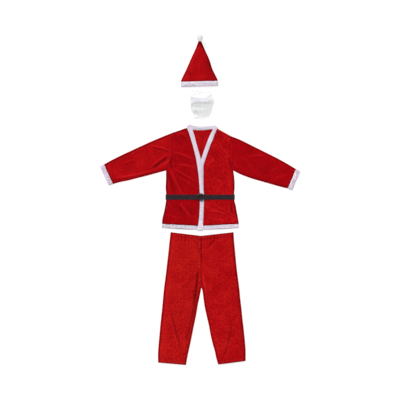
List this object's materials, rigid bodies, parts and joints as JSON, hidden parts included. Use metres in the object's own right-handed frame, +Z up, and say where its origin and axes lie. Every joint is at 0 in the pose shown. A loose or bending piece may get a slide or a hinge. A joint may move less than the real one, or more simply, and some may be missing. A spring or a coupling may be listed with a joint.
{
  "type": "santa suit",
  "caption": "Laid-out costume set: pointed hat with pompom, false beard, wrap jacket with plush trim and buckled belt, and straight trousers.",
  "frame": {"origin": "middle of the laid-out set, on the floor it lies on", "axes": "+Y towards the hat, +X towards the wearer's left side, +Z up from the floor"},
  "size_m": [1.5035, 2.475, 0.0469],
  "materials": {
    "red_velour": "brushed velour with a short nap and a soft sheen",
    "white_plush": "short-pile plush",
    "white_hair": "loose synthetic hair",
    "black_webbing": "woven webbing, slightly shiny",
    "black_plastic": "moulded, satin",
    "white_elastic": "covered round elastic"
  },
  "bodies": {
    "root": {"back_neck_band": "white_plush", "beard_elastic": "white_elastic", "beard_elastic_knot": "white_elastic", "beard_elastic_tail": "white_elastic", "beard_moustache": "white_hair", "beard_row_chin": "white_hair", "beard_row_lower": "white_hair", "beard_row_middle": "white_hair", "beard_row_top": "white_hair", "belt_buckle": "black_plastic", "belt_keeper_left": "black_webbing", "belt_keeper_right": "black_webbing", "belt_strap": "black_webbing", "cuff_left": "white_plush", "cuff_right": "white_plush", "front_band_left": "white_plush", "front_band_right": "white_plush", "front_left": "red_velour", "front_right": "red_velour", "hat_band": "white_plush", "hat_cone": "red_velour", "hat_pompom": "white_plush", "hem_band_back": "white_plush", "hem_band_left": "white_plush", "hem_band_right": "white_plush", "jacket_back": "red_velour", "sleeve_left": "red_velour", "sleeve_right": "red_velour", "trouser_leg_left": "red_velour", "trouser_leg_right": "red_velour"}
  },
  "joints": []
}
